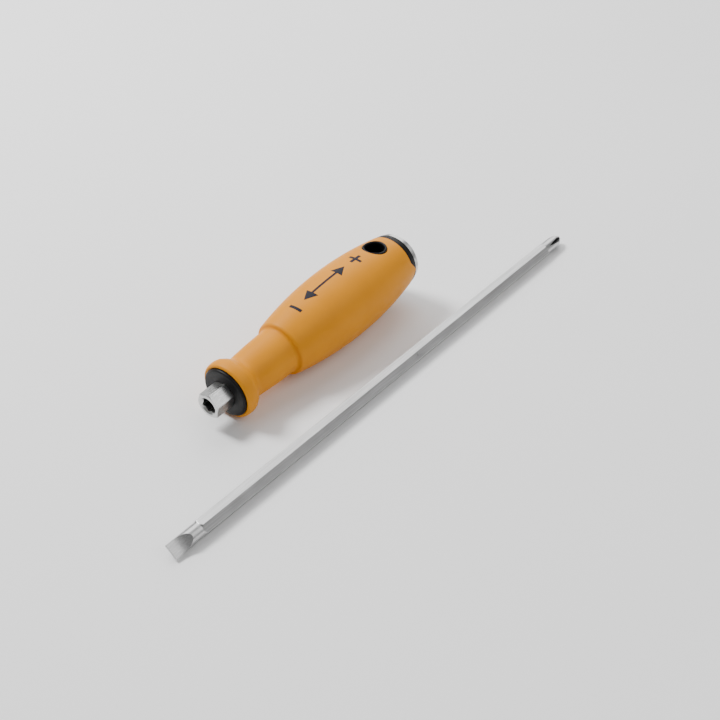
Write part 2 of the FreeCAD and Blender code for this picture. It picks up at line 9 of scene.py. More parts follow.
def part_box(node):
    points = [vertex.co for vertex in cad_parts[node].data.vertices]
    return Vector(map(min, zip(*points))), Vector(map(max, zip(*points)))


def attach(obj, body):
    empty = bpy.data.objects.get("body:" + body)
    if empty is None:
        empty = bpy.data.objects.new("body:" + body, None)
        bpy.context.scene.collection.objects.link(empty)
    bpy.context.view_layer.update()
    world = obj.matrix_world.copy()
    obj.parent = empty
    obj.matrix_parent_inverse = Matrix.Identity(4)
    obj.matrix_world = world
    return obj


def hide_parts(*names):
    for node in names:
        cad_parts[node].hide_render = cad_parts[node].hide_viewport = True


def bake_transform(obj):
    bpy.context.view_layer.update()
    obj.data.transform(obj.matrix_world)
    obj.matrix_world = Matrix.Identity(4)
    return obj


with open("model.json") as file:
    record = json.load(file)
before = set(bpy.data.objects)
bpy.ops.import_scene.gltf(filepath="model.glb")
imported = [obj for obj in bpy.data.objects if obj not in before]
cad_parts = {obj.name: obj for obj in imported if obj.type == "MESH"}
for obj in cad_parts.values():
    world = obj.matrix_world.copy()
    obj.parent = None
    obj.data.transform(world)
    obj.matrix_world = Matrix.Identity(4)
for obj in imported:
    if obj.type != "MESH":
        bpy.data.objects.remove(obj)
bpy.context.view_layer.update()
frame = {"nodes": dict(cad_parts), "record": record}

# ------------------------------------------------------------------ places
# Handle pieces are drawn in the handle's own frame, in millimetres: x is the station behind the
# bolster's face, z is up at the top of the handle. The record's mounts say where that frame is.

MM = 0.001
MOUNTS = {m["name"]: m for m in frame["record"]["mounts"]}
NOSE = Vector(MOUNTS["blade_socket"]["pos_m"])
AXIS = -Vector(MOUNTS["blade_socket"]["axis"]).normalized()
TILT = asin(AXIS.z)
HANDLE = (
    Matrix.Translation(NOSE) @ Matrix.Rotation(-TILT, 4, "Y") @ Matrix.Scale(MM, 4)
)

BLADE_LOW, BLADE_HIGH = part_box("blade")
BLADE_LENGTH = (BLADE_HIGH.x - BLADE_LOW.x) / MM
BLADE_FLATS = 6.0
BLADE = (
    Matrix.Translation(
        (
            BLADE_LOW.x,
            (BLADE_LOW.y + BLADE_HIGH.y) / 2,
            BLADE_LOW.z + BLADE_FLATS * MM / 2,
        )
    )
    @ Matrix.Scale(MM, 4)
)

EDGE = 0.25
SLOT_SHANK, SLOT_RADIUS, SLOT_GROUND, SLOT_HALF = 13.5, 2.98, 8.7, 0.5
SLOT_ROLL = radians(40.0)
SLOT_BREAK, SLOT_BREAK_LENGTH, SLOT_END_BREAK = 0.22, 0.3, 0.06
CROSS_SHANK, CROSS_RADIUS, CROSS_CONE, CROSS_NOSE = 14.0, 2.95, 3.7, 1.15
FLUTE_LENGTH, FLUTE_ROOT, FLUTE_TOP, FLUTE_RUNOUT = 14.8, 0.75, 3.3, 12.5
FLUTE_SHALLOW, FLUTE_DEEP = 0.01, 0.14  # depths below the lands where the painted shade starts and is full
FLUTE_PAST_END = 0.2  # the flutes' root is measured from this far past the tip
END_BREAK, END_BREAK_LENGTH = 0.12, 0.1  # rounding of the tip's end
# painted shade: near-black colour laid down in the cross tip's flutes, where the shade inside them
# falls
FLUTE_PAINTED_SHADE = (0.03, 0.03, 0.03)
SHOULDER = radians(58.0)  # from a plane across the bar to the cones that end the hexagon

# ------------------------------------------------------------------ mesh helpers


def make_object(name, points, faces, place, body, material, sharp=32.0):
    """A mesh object from points in its own millimetre frame, smooth but for its sharp edges.
    """
    mesh = bpy.data.meshes.new(name)
    mesh.from_pydata([place @ Vector(p) for p in points], [], faces)
    mesh.validate()
    work = bmesh.new()
    work.from_mesh(mesh)
    bmesh.ops.remove_doubles(work, verts=work.verts, dist=2e-7)
    bmesh.ops.dissolve_degenerate(work, dist=1e-8, edges=work.edges)
    bmesh.ops.recalc_face_normals(work, faces=work.faces)
    work.to_mesh(mesh)
    work.free()
    mesh.shade_smooth()
    mesh.set_sharp_from_angle(angle=radians(sharp))
    mesh.materials.append(material)
    obj = bpy.data.objects.new(name, mesh)
    bpy.context.scene.collection.objects.link(obj)
    if body:
        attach(obj, body)
    return obj


def ring_faces(rings, count, closed_ends=False):
    """Quads between rings of count points each; the rings may close on themselves."""
    faces = []
    spans = rings if closed_ends else rings - 1
    for r in range(spans):
        a = r * count
        b = ((r + 1) % rings) * count
        for k in range(count):
            n = (k + 1) % count
            faces.append((a + k, a + n, b + n, b + k))
    return faces


def capped(points, count):
    """Ring faces plus a fan at each end."""
    rings = len(points) // count
    faces = ring_faces(rings, count)
    faces.append(tuple(reversed(range(count))))
    faces.append(tuple(range((rings - 1) * count, rings * count)))
    return faces


def turned(name, profile, place, body, material, count=192, closed=True, sharp=32.0):
    """A profile of (station, radius) points turned about the x axis."""
    points = []
    for station, radius in profile:
        for k in range(count):
            angle = 2 * pi * k / count
            points.append((station, -radius * sin(angle), radius * cos(angle)))
    faces = ring_faces(len(profile), count, closed)
    return make_object(name, points, faces, place, body, material, sharp)


def arc_points(start, end, radius, step):
    """Points from start to end on an arc that turns left for a positive radius, else right."""
    (x0, y0), (x1, y1) = start, end
    length = hypot(x1 - x0, y1 - y0)
    drop = sqrt(radius * radius - length * length / 4)
    side = 1 if radius > 0 else -1
    cx = (x0 + x1) / 2 - side * drop * (y1 - y0) / length
    cy = (y0 + y1) / 2 + side * drop * (x1 - x0) / length
    first = atan2(y0 - cy, x0 - cx)
    sweep = 2 * asin(length / (2 * abs(radius))) * side
    parts = max(2, ceil(abs(sweep * radius) / step))
    return [
        (
            cx + abs(radius) * cos(first + sweep * i / parts),
            cy + abs(radius) * sin(first + sweep * i / parts),
        )
        for i in range(parts + 1)
    ]


def line_points(start, end, step):
    """Points from start up to, not including, end."""
    length = hypot(end[0] - start[0], end[1] - start[1])
    parts = max(1, ceil(length / step))
    return [
        (
            start[0] + (end[0] - start[0]) * i / parts,
            start[1] + (end[1] - start[1]) * i / parts,
        )
        for i in range(parts)
    ]


def path(corners, step=0.6, closed=True):
    """Points along corners given as (x, y) or (x, y, radius of the edge that leaves)."""
    points = []
    last = len(corners) if closed else len(corners) - 1
    for i in range(last):
        corner = corners[i]
        target = corners[(i + 1) % len(corners)][:2]
        if len(corner) == 3:
            points += arc_points(corner[:2], target, corner[2], min(step, abs(corner[2]) / 5))[:-1]
        else:
            points += line_points(corner, target, step)
    if not closed:
        points.append(corners[-1][:2])
    return points


class Shader:
    """A Principled material whose nodes are added one at a time."""

    def __init__(self, name, **values):
        self.material = bpy.data.materials.new(name)
        self.material.use_nodes = True
        self.nodes = self.material.node_tree.nodes
        self.links = self.material.node_tree.links
        self.base = self.nodes["Principled BSDF"]
        for key, value in values.items():
            self.base.inputs[key.replace("_", " ")].default_value = value
        self.where = self.nodes.new("ShaderNodeTexCoord").outputs["Object"]

    def stretched(self, scale, place=None):
        """Object coordinates, turned into the piece's own frame and stretched."""
        mapping = self.nodes.new("ShaderNodeMapping")
        mapping.vector_type = "POINT"
        if place is not None:
            mapping.inputs["Rotation"].default_value = place.to_euler()
        self.links.new(self.where, mapping.inputs["Vector"])
        wide = self.nodes.new("ShaderNodeVectorMath")
        wide.operation = "MULTIPLY"
        wide.inputs[1].default_value = scale
        self.links.new(mapping.outputs["Vector"], wide.inputs[0])
        return wide.outputs["Vector"]

    def noise(self, vector, scale, detail=4.0, rough=0.6, seed=0.0):
        node = self.nodes.new("ShaderNodeTexNoise")
        node.noise_dimensions = "4D"
        node.inputs["W"].default_value = seed
        node.inputs["Scale"].default_value = scale
        node.inputs["Detail"].default_value = detail
        node.inputs["Roughness"].default_value = rough
        self.links.new(vector, node.inputs["Vector"])
        return node.outputs["Fac"]

    def ramp(self, factor, stops):
        """A colour ramp through (position, colour) stops."""
        node = self.nodes.new("ShaderNodeValToRGB")
        elements = node.color_ramp.elements
        while len(elements) < len(stops):
            elements.new(0.5)
        for element, (position, colour) in zip(elements, stops):
            element.position = position
            element.color = (*colour, 1.0)
        self.links.new(factor, node.inputs["Fac"])
        return node.outputs["Color"]

    def span(self, factor, low, high):
        """The factor's middle range mapped onto low to high."""
        node = self.nodes.new("ShaderNodeMapRange")
        node.inputs["From Min"].default_value = 0.3
        node.inputs["From Max"].default_value = 0.7
        node.inputs["To Min"].default_value = low
        node.inputs["To Max"].default_value = high
        self.links.new(factor, node.inputs["Value"])
        return node.outputs["Result"]

    def darkened(self, colour, factor, dark):
        """The colour, going over to a dark one as the factor rises."""
        node = self.nodes.new("ShaderNodeMix")
        node.data_type = "RGBA"
        self.links.new(factor, node.inputs["Factor"])
        self.links.new(colour, node.inputs["A"])
        node.inputs["B"].default_value = (*dark, 1.0)
        return node.outputs["Result"]

    def colour(self, socket):
        self.links.new(socket, self.base.inputs["Base Color"])

    def roughness(self, socket):
        self.links.new(socket, self.base.inputs["Roughness"])

    def bump(self, height, strength, distance):
        """One more bump on top of those already there."""
        node = self.nodes.new("ShaderNodeBump")
        node.inputs["Strength"].default_value = strength
        node.inputs["Distance"].default_value = distance
        self.links.new(height, node.inputs["Height"])
        if self.base.inputs["Normal"].is_linked:
            before = self.base.inputs["Normal"].links[0].from_socket
            self.links.new(before, node.inputs["Normal"])
        self.links.new(node.outputs["Normal"], self.base.inputs["Normal"])


TURN = HANDLE.to_3x3().normalized().inverted()


def orange_rubber():
    shade = Shader("orange_rubber", Roughness=0.5, Specular_IOR_Level=0.18)
    mottled = shade.noise(shade.where, 60.0, 3.0, 0.5, 1.0)
    shade.colour(
        shade.ramp(
            mottled,
            [(0.3, (0.68, 0.248, 0.0)), (0.52, (0.72, 0.266, 0.0)), (0.75, (0.76, 0.284, 0.001))],
        )
    )
    shade.roughness(shade.span(shade.noise(shade.where, 400.0, 5.0, 0.65, 2.0), 0.42, 0.56))
    shade.bump(shade.noise(shade.where, 5200.0, 2.0, 0.6, 3.0), 0.16, 0.00006)
    shade.bump(shade.noise(shade.where, 260.0, 2.0, 0.5, 4.0), 0.1, 0.00012)
    return shade.material


def black_plastic():
    shade = Shader("black_plastic", Roughness=0.4, Specular_IOR_Level=0.2)
    shade.colour(
        shade.ramp(
            shade.noise(shade.where, 220.0, 4.0, 0.6, 5.0),
            [(0.3, (0.002, 0.002, 0.0025)), (0.7, (0.005, 0.005, 0.006))],
        )
    )
    shade.roughness(shade.span(shade.noise(shade.where, 700.0, 4.0, 0.6, 6.0), 0.36, 0.52))
    shade.bump(shade.noise(shade.where, 3800.0, 3.0, 0.6, 7.0), 0.22, 0.00008)
    return shade.material


def flute_shade_mask(shade):
    """Mask for the painted shade in the cross tip's flutes: 0 on its lands, 1 down in its flutes, from
    the distance to the blade's axis.
    """
    tip = BLADE @ Vector((BLADE_LENGTH, 0, 0))
    local = shade.nodes.new("ShaderNodeVectorMath")
    local.operation = "SUBTRACT"
    local.inputs[1].default_value = tip
    shade.links.new(shade.where, local.inputs[0])
    across = shade.nodes.new("ShaderNodeVectorMath")
    across.operation = "MULTIPLY"
    across.inputs[1].default_value = (0.0, 1.0, 1.0)
    shade.links.new(local.outputs["Vector"], across.inputs[0])
    away = shade.nodes.new("ShaderNodeVectorMath")
    away.operation = "LENGTH"
    shade.links.new(across.outputs["Vector"], away.inputs[0])
    parts = shade.nodes.new("ShaderNodeSeparateXYZ")
    shade.links.new(local.outputs["Vector"], parts.inputs["Vector"])
    land = shade.nodes.new("ShaderNodeMapRange")
    land.inputs["From Min"].default_value = -CROSS_CONE * MM
    land.inputs["From Max"].default_value = 0.0
    land.inputs["To Min"].default_value = CROSS_RADIUS * MM
    land.inputs["To Max"].default_value = CROSS_NOSE * MM
    shade.links.new(parts.outputs["X"], land.inputs["Value"])
    under = shade.nodes.new("ShaderNodeMath")
    under.operation = "SUBTRACT"
    shade.links.new(land.outputs["Result"], under.inputs[0])
    shade.links.new(away.outputs["Value"], under.inputs[1])
    depth = shade.nodes.new("ShaderNodeMapRange")
    depth.inputs["From Min"].default_value = FLUTE_SHALLOW * MM
    depth.inputs["From Max"].default_value = FLUTE_DEEP * MM
    shade.links.new(under.outputs["Value"], depth.inputs["Value"])
    return depth.outputs["Result"]


def satin_steel(name, place, low, high, rough, streak, seed, paint_flute_shade=False):
    """Bare steel with fine lines along the piece and small dents, with painted shade down in any
    flutes.
    """
    shade = Shader(name, Metallic=1.0)
    lines = shade.noise(shade.stretched(streak, place), 1.0, 6.0, 0.7, seed)
    blotch = shade.noise(shade.where, 160.0, 4.0, 0.6, seed + 1.0)
    tint = shade.ramp(lines, [(0.32, low), (0.68, high)])
    if paint_flute_shade:
        # painted shade: the colour goes near black down in the flutes, standing in for the shade
        # inside them
        tint = shade.darkened(tint, flute_shade_mask(shade), FLUTE_PAINTED_SHADE)
    shade.colour(tint)
    shade.roughness(shade.span(blotch, rough - 0.05, rough + 0.06))
    shade.bump(lines, 0.05, 0.00002)
    shade.bump(shade.noise(shade.where, 900.0, 3.0, 0.6, seed + 2.0), 0.06, 0.00004)
    return shade.material


def dark_ink():
    shade = Shader("dark_ink", Roughness=0.5, Specular_IOR_Level=0.2)
    shade.colour(
        shade.ramp(
            shade.noise(shade.where, 900.0, 4.0, 0.6, 11.0),
            [(0.3, (0.0025, 0.002, 0.008)), (0.7, (0.005, 0.004, 0.014))],
        )
    )
    shade.bump(shade.noise(shade.where, 4200.0, 2.0, 0.6, 12.0), 0.15, 0.00005)
    return shade.material


ORANGE = orange_rubber()
BLACK = black_plastic()
PLATED = satin_steel(
    "plated_steel", TURN, (0.42, 0.42, 0.415), (0.68, 0.68, 0.67), 0.27, (500, 3000, 3000), 21.0
)
DRAWN = satin_steel(
    "drawn_steel", None, (0.36, 0.36, 0.36), (0.58, 0.58, 0.58), 0.32, (50, 2600, 2600), 31.0
)
# steel for the cross tip, with painted shade down in its flutes
FLUTED_SHADED_STEEL = satin_steel(
    "fluted_steel_painted_shade", None, (0.42, 0.42, 0.42), (0.62, 0.62, 0.62), 0.3, (50, 2600, 2600), 31.0, True
)
SPRING = satin_steel(
    "spring_steel", TURN, (0.42, 0.42, 0.44), (0.55, 0.55, 0.57), 0.25, (900, 900, 900), 41.0
)
INK = dark_ink()

# ------------------------------------------------------------------ handle: barrel

CREST = 80.0
CREST_RADIUS = 16.07
LIP_BACK = 42.4
LIP_RADIUS = 12.15
BUTT = 118.3
BUTT_RADIUS = 12.1
LIP_FRONT = 41.0
LIP_FACE = 10.9
LIP_ROUND = 1.6
LIP_BREAK = 0.35  # rounding of the lip's inner edge
CORE_RADIUS = 10.6
CORE_STEP = 44.0
CORE_FRONT = 15.0
CORE_NECK = 7.9
CORE_END = 114.0
NECK_UNDER = 10.2
CAP_FACE = 9.0
CAP_BACK = 10.8
CAP_RADIUS = 10.6
SPIGOT_RADIUS = 9.4
COLLAR_GAP = 10.75


def sweep_radius(run, rise):
    """Radius of the arc that leaves the crest level and falls by rise over run."""
    return (run * run + rise * rise) / (2 * rise)


FRONT_SWEEP = sweep_radius(CREST - LIP_BACK, CREST_RADIUS - LIP_RADIUS)
REAR_SWEEP = sweep_radius(BUTT - CREST, CREST_RADIUS - BUTT_RADIUS)


def barrel_radius(station):
    """Radius of the barrel's outside, on two arcs that meet level at the crest."""
    sweep = FRONT_SWEEP if station < CREST else REAR_SWEEP
    return CREST_RADIUS - sweep + sqrt(sweep * sweep - (station - CREST) ** 2)


HOLE_STATION = 104.4
LINER_RADIUS = 5.45
HOLE_RADIUS = 4.2
CUT_CUSP = 117.9
CUT_CROWN = 114.7
TAB_HALF = 4.8

BARREL_COLUMNS = 144
FRONT_ROWS = 60
WINDOW_COLUMNS = 12  # columns from the top line to the side of the window round the hole
WINDOW_HALF = 7.4
WINDOW_STEPS = 20
PATCH_RINGS = 7
RIM_ROUND = 0.35
EDGE_ROUND = 0.3


def cut_at(height):
    """Station of the parting from the rear ring: flat, with a pointed tab at each side."""
    share = min(1.0, abs(height) / TAB_HALF)
    return CUT_CUSP - (CUT_CUSP - CUT_CROWN) * share


def cut_station(angle):
    """Station where the parting meets the barrel's surface at an angle."""
    station = CUT_CUSP
    for _ in range(40):
        station = (station + cut_at(cos(angle) * barrel_radius(station))) / 2
    return station


def barrel_rows():
    """Stations of the rows, from the lip's rounding to the last row ahead of the butt's cut."""
    start = HOLE_STATION - WINDOW_HALF
    end = HOLE_STATION + WINDOW_HALF
    before = [LIP_BACK + (start - LIP_BACK) * i / FRONT_ROWS for i in range(FRONT_ROWS)]
    window = [start + (end - start) * i / WINDOW_STEPS for i in range(WINDOW_STEPS + 1)]
    return before + window, len(before), len(before) + WINDOW_STEPS


def barrel():
    """The barrel as a grid, with a patch of rings round each mouth of the hanging hole."""
    rows, first, last = barrel_rows()
    columns = BARREL_COLUMNS
    points, faces = [], []

    def add(point):
        points.append(point)
        return len(points) - 1

    def turn(column):
        return 2 * pi * column / columns

    def around(station, radius):
        return [
            add((station, -radius * sin(turn(k)), radius * cos(turn(k)))) for k in range(columns)
        ]

    def skewed(place_at):
        """A ring whose station and radius change with the angle."""
        ring = []
        for k in range(columns):
            station, radius = place_at(turn(k))
            ring.append(add((station, -radius * sin(turn(k)), radius * cos(turn(k)))))
        return ring

    def sliding(angle, share):
        edge = cut_station(angle) - EDGE_ROUND
        station = rows[-1] + (edge - rows[-1]) * share
        return station, barrel_radius(station)

    def rolled_edge(angle, part):
        end = cut_station(angle)
        station = end - EDGE_ROUND * (1 - sin(part))
        return station, barrel_radius(end) - EDGE_ROUND * (1 - cos(part))

    def band(a, b, skip=()):
        for k in range(columns):
            if k not in skip:
                n = (k + 1) % columns
                faces.append((a[k], a[n], b[n], b[k]))

    # front: under the lip, up its face and over its rounding
    lip = path(
        [
            (CORE_STEP, NECK_UNDER),
            (LIP_FRONT + LIP_BREAK, NECK_UNDER, -LIP_BREAK),
            (LIP_FRONT, NECK_UNDER + LIP_BREAK),
            (LIP_FRONT, LIP_FACE, -LIP_ROUND),
            (LIP_BACK, LIP_RADIUS),
        ],
        step=0.25,
        closed=False,
    )[:-1]
    front = [around(s, r) for s, r in lip]
    grid = [around(s, barrel_radius(s)) for s in rows]
    top = set(range(-WINDOW_COLUMNS, WINDOW_COLUMNS))
    open_columns = {k % columns for k in top} | {(k + columns // 2) % columns for k in top}
    for a, b in zip(front, front[1:] + [grid[0]]):
        band(a, b)
    for i in range(len(grid) - 1):
        band(grid[i], grid[i + 1], open_columns if first <= i < last else ())

    # rear: rows that slide back to the slanting cut, its rounded edge, and the cut face
    tail = [grid[-1]]
    for share in (0.25, 0.5, 0.72, 0.88, 0.97, 1.0):
        tail.append(skewed(lambda angle: sliding(angle, share)))
    for part in (22.5, 45.0, 67.5, 90.0):
        tail.append(skewed(lambda angle: rolled_edge(angle, radians(part))))
    tail.append(skewed(lambda angle: (cut_at(cos(angle) * CORE_RADIUS), CORE_RADIUS)))
    tail.append(around(HOLE_STATION + WINDOW_HALF, CORE_RADIUS))
    for a, b in zip(tail, tail[1:]):
        band(a, b)

    # inside: along the core, with the same windows left open round the hole
    inside = [tail[-1]]
    for s in reversed(rows[first:last]):
        inside.append(around(s, CORE_RADIUS))
    for a, b in zip(inside, inside[1:]):
        band(a, b, open_columns)
    inside.append(around(CORE_STEP, CORE_RADIUS))
    band(inside[-2], inside[-1])
    band(inside[-1], front[0])

    # patches from each window's rim to the hole, outside and inside, joined by a wall
    inside_rows = list(reversed(inside[: WINDOW_STEPS + 1]))
    for up in (1, -1):
        middle = 0 if up > 0 else columns // 2
        left = [(middle - WINDOW_COLUMNS + j) % columns for j in range(2 * WINDOW_COLUMNS + 1)]
        outer_grid = grid[first : last + 1]
        outer = window_rim(outer_grid, left)
        inner_rim = window_rim(inside_rows, left)
        wall_top = patch_rings(points, faces, add, outer, up, barrel_radius, RIM_ROUND)
        wall_low = patch_rings(points, faces, add, inner_rim, up, lambda s: CORE_RADIUS, 0.0)
        count = len(outer)
        for k in range(count):
            n = (k + 1) % count
            faces.append((wall_top[k], wall_top[n], wall_low[n], wall_low[k]))
    return points, faces


def window_rim(grid, columns):
    """The point numbers round a window's edge, in order."""
    rim = [grid[0][k] for k in columns]
    rim += [row[columns[-1]] for row in grid[1:]]
    rim += [grid[-1][k] for k in reversed(columns[:-1])]
    rim += [row[columns[0]] for row in reversed(grid[1:-1])]
    return rim


def patch_rings(points, faces, add, rim, up, radius_at, rounding):
    """Rings from a window's edge in to the lining, with a rolled edge; returns the last ring."""
    count = len(rim)
    goals = []
    for index in rim:
        x, y, _ = points[index]
        angle = atan2(y, x - HOLE_STATION)
        goals.append((cos(angle), sin(angle)))
    before = rim
    reach = LINER_RADIUS + rounding
    for ring in range(1, PATCH_RINGS + 1):
        share = ring / PATCH_RINGS
        now = []
        for k in range(count):
            x, y, _ = points[rim[k]]
            gx = HOLE_STATION + reach * goals[k][0]
            gy = reach * goals[k][1]
            px = x + (gx - x) * share
            py = y + (gy - y) * share
            now.append(add((px, py, up * sqrt(radius_at(px) ** 2 - py * py))))
        for k in range(count):
            n = (k + 1) % count
            faces.append((before[k], before[n], now[n], now[k]))
        before = now
    if rounding:
        for part in (30.0, 60.0, 90.0):
            now = []
            across = LINER_RADIUS + rounding * (1 - sin(radians(part)))
            sink = rounding * (1 - cos(radians(part)))
            for k in range(count):
                px = HOLE_STATION + across * goals[k][0]
                py = across * goals[k][1]
                now.append(add((px, py, up * (sqrt(radius_at(px) ** 2 - py * py) - sink))))
            for k in range(count):
                n = (k + 1) % count
                faces.append((before[k], before[n], now[n], now[k]))
            before = now
    return before


barrel_points, barrel_faces = barrel()
main_grip = make_object(
    "barrel_grip", barrel_points, barrel_faces, HANDLE, "handle", ORANGE, sharp=50.0
)
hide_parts("main_grip")

# ------------------------------------------------------------------ handle: collar and neck

neck = path(
    [
        (CAP_BACK, SPIGOT_RADIUS),
        (CORE_FRONT, SPIGOT_RADIUS),
        (CORE_FRONT, CORE_NECK),
        (CORE_STEP, CORE_NECK),
        (CORE_STEP, NECK_UNDER),
        (LIP_FRONT, NECK_UNDER),
        (LIP_FRONT, 10.95, -1.3),
        (39.8, NECK_UNDER),
        (37.0, 10.1, 213.0),
        (21.0, 9.15, -5.5),
        (17.0, 10.9),
        (15.0, 12.05, 8.0),
        (11.2, 12.15, 1.1),
        (10.2, 11.2),
        (10.35, COLLAR_GAP, 0.15),
        (10.5, COLLAR_GAP),
        (CAP_BACK, COLLAR_GAP),
    ],
    step=0.5,
)
front_grip = turned("collar_grip", neck, HANDLE, "handle", ORANGE, sharp=40.0)
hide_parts("front_grip")

# ------------------------------------------------------------------ handle: steel bolster


def hex_radius(angle, flats, roll, rounding):
    """Distance from the axis to a hexagon's outline with rounded corners, by angle."""
    sector = (angle - roll) % (pi / 3)
    off = abs(sector - pi / 6)
    flat = flats / 2 / cos(off)
    corner = flats / sqrt(3) - rounding * (2 / sqrt(3))
    swing = pi / 6 - off
    reach = corner * cos(swing) + sqrt(max(0.0, rounding**2 - (corner * sin(swing)) ** 2))
    slack = 1.0001  # keeps the point where flat and corner meet on the corner
    inside = corner * sin(swing) < rounding * sin(pi / 6) * slack
    return reach if inside else flat


def hex_angles(flats, roll, rounding):
    """Angles that fall on a rounded hexagon's features: flats, corner starts and corners."""
    corner = flats / sqrt(3) - rounding * (2 / sqrt(3))
    tangent_x = corner + rounding * cos(pi / 6)
    tangent_y = rounding * sin(pi / 6)
    start = atan2(tangent_y, tangent_x)
    angles = []
    for k in range(6):
        base = roll + k * pi / 3
        angles += [base + start * i / 4 for i in range(-4, 4)]
        angles += [base + start + (pi / 3 - 2 * start) * i / 10 for i in range(10)]
    return angles


ROLL = radians(44.0)
CORNER = 0.45
BOLSTER_FLATS = 10.0
SOCKET_FLATS = 6.15
SOCKET_ROUND = 0.1
CHAMFER_RADIUS = 4.93  # of the turned chamfer at the front face
CHAMFER = radians(27.0)  # from a plane across the axis
TUBE_END = 94.0
CHAMFER_START = 0.02
SINK_RADIUS = 3.9


def polar(stations, angles, radius_at):
    """Rings of points at each station, their distances from the axis given by a function."""
    points = []
    for station in stations:
        for angle in angles:
            radius = radius_at(station, angle)
            points.append((station, radius * cos(angle), radius * sin(angle)))
    return points


def bolster():
    """Hexagon tube with a turned chamfer, rounded edges and a countersunk hexagon socket."""
    outer_stations = [0.0, 0.06, 0.14, 0.25, 0.4, 0.6, 0.85, 1.2, 2, 4, 6, 8, 9.2, 20, 50, TUBE_END]
    inner_stations = [TUBE_END, 60, 30, 12, 6, 3, 2, 1.5, 1.2, 1.0, 0.9, 0.7, 0.5, 0.3, 0.12, 0.0]

    def outside(station, angle):
        cone = CHAMFER_RADIUS + (station + CHAMFER_START) / tan(CHAMFER)
        return min(hex_radius(angle, BOLSTER_FLATS, ROLL, CORNER), cone)

    def inside(station, angle):
        cone = SINK_RADIUS - station
        return max(hex_radius(angle, SOCKET_FLATS, ROLL, SOCKET_ROUND), cone)

    angles = hex_angles(BOLSTER_FLATS, ROLL, CORNER)
    fine = []
    for a, b in zip(angles, angles[1:] + [angles[0] + 2 * pi]):
        fine += [a, (a + b) / 2]
    points = polar(outer_stations, fine, outside) + polar(inner_stations, fine, inside)
    faces = ring_faces(len(outer_stations) + len(inner_stations), len(fine), True)
    return points, faces


bolster_points, bolster_faces = bolster()
bolster_tube = make_object(
    "bolster", bolster_points, bolster_faces, HANDLE, "handle", PLATED, sharp=28.0
)
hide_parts("bolster_tube")

# ------------------------------------------------------------------ handle: detent spring

BALL_STATION = 13.5
CLIP_RADIUS = 6.25
CLIP_WIRE = 0.45
CLIP_SPAN = radians(290.0)
CLIP_STEPS = 72
CLIP_SIDES = 20
CLIP_END_WIRE = 0.6  # share of the wire's radius left at its rounded ends
CLIP_END_REACH = 0.15


def detent_clip():
    """C spring of round wire, its gap opposite the ball."""
    toward_ball = ROLL + pi / 2
    points = []
    for step in range(-1, CLIP_STEPS + 2):
        share = min(max(step, 0), CLIP_STEPS) / CLIP_STEPS
        past_end = (step > CLIP_STEPS) - (step < 0)
        angle = toward_ball + (share - 0.5) * CLIP_SPAN + CLIP_END_REACH * past_end / CLIP_RADIUS
        wire = CLIP_WIRE * (CLIP_END_WIRE if past_end else 1.0)
        for k in range(CLIP_SIDES):
            around = 2 * pi * k / CLIP_SIDES
            reach = CLIP_RADIUS + wire * cos(around)
            points.append(
                (BALL_STATION + wire * sin(around), reach * cos(angle), reach * sin(angle))
            )
    clip = make_object(
        "detent_clip", points, capped(points, CLIP_SIDES), HANDLE, None, SPRING, sharp=50.0
    )
    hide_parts("retaining_clip")
    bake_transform(clip)


detent_clip()

# ------------------------------------------------------------------ handle: black mouldings


def nose_disc():
    """Black disc at the nose, its bore a hexagon that follows the bolster."""
    outer = [
        (12.0, SPIGOT_RADIUS),
        (CAP_BACK, SPIGOT_RADIUS),
        (CAP_BACK, CAP_RADIUS - 0.05),
        (CAP_BACK - 0.1, CAP_RADIUS),
        (CAP_FACE + 0.7, CAP_RADIUS),
        (CAP_FACE + 0.42, CAP_RADIUS - 0.07),
        (CAP_FACE + 0.18, CAP_RADIUS - 0.3),
        (CAP_FACE + 0.04, CAP_RADIUS - 0.55),
        (CAP_FACE, CAP_RADIUS - 0.85),
        (CAP_FACE, 8.5),
        (CAP_FACE, 7.2),
        (CAP_FACE, 6.5),
    ]
    gaps = [(0.0, 0.3), (0.03, 0.17), (0.12, 0.1), (0.3, 0.07), (1.5, 0.07), (3.0, 0.07)]
    angles = hex_angles(BOLSTER_FLATS, ROLL, CORNER)

    points = []
    for station, radius in outer:
        points += [(station, radius * cos(a), radius * sin(a)) for a in angles]
    for depth, gap in gaps:
        for a in angles:
            radius = hex_radius(a, BOLSTER_FLATS + 2 * gap, ROLL, CORNER + gap)
            points.append((CAP_FACE + depth, radius * cos(a), radius * sin(a)))
    faces = ring_faces(len(outer) + len(gaps), len(angles), True)
    return make_object("nose_disc", points, faces, HANDLE, "handle", BLACK, sharp=35.0)


front_cap = nose_disc()
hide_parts("front_cap")


RIM_LEVEL = 0.45  # how far the lining's rim stands towards level instead of following the barrel
LINING_COLUMNS = 96
LINING_GAP = 0.02


def rim_ring(radius, up, sink):
    """A ring of the lining's rim: above the barrel's surface at the sides, level with it in line."""
    crown = barrel_radius(HOLE_STATION)
    points = []
    for k in range(LINING_COLUMNS):
        angle = 2 * pi * k / LINING_COLUMNS
        x = HOLE_STATION + radius * cos(angle)
        y = radius * sin(angle)
        skin = sqrt(barrel_radius(x) ** 2 - y * y)
        points.append((x, y, up * (skin + RIM_LEVEL * (crown - skin) - sink)))
    return points


def wall_ring(radius, level):
    points = []
    for k in range(LINING_COLUMNS):
        angle = 2 * pi * k / LINING_COLUMNS
        points.append((HOLE_STATION + radius * cos(angle), radius * sin(angle), level))
    return points


